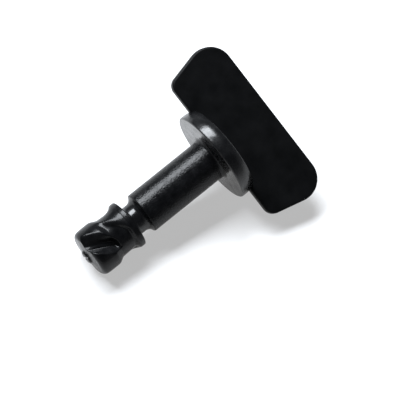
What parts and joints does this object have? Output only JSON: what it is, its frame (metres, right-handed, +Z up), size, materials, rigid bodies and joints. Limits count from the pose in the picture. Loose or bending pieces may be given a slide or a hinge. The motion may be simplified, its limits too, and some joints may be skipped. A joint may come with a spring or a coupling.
{
  "type": "hitch cover bolt",
  "caption": "Quarter-turn bolt with a flat thumb wing, a round collar, a plain shank, a groove and a spiral cam end.",
  "frame": {"origin": "on the table, under the middle of the bolt as it lies at rest", "axes": "+Z up, +X along the lying bolt from the cam end towards the wing, Y across it"},
  "size_m": [0.0438, 0.0312, 0.018],
  "materials": {
    "stud_coat": "glossy black coating on steel, slightly uneven on the shank",
    "wing_coat": "smooth black coating on a flat stamped plate"
  },
  "bodies": {
    "root": {"stud": "stud_coat", "wing": "wing_coat"}
  },
  "joints": []
}
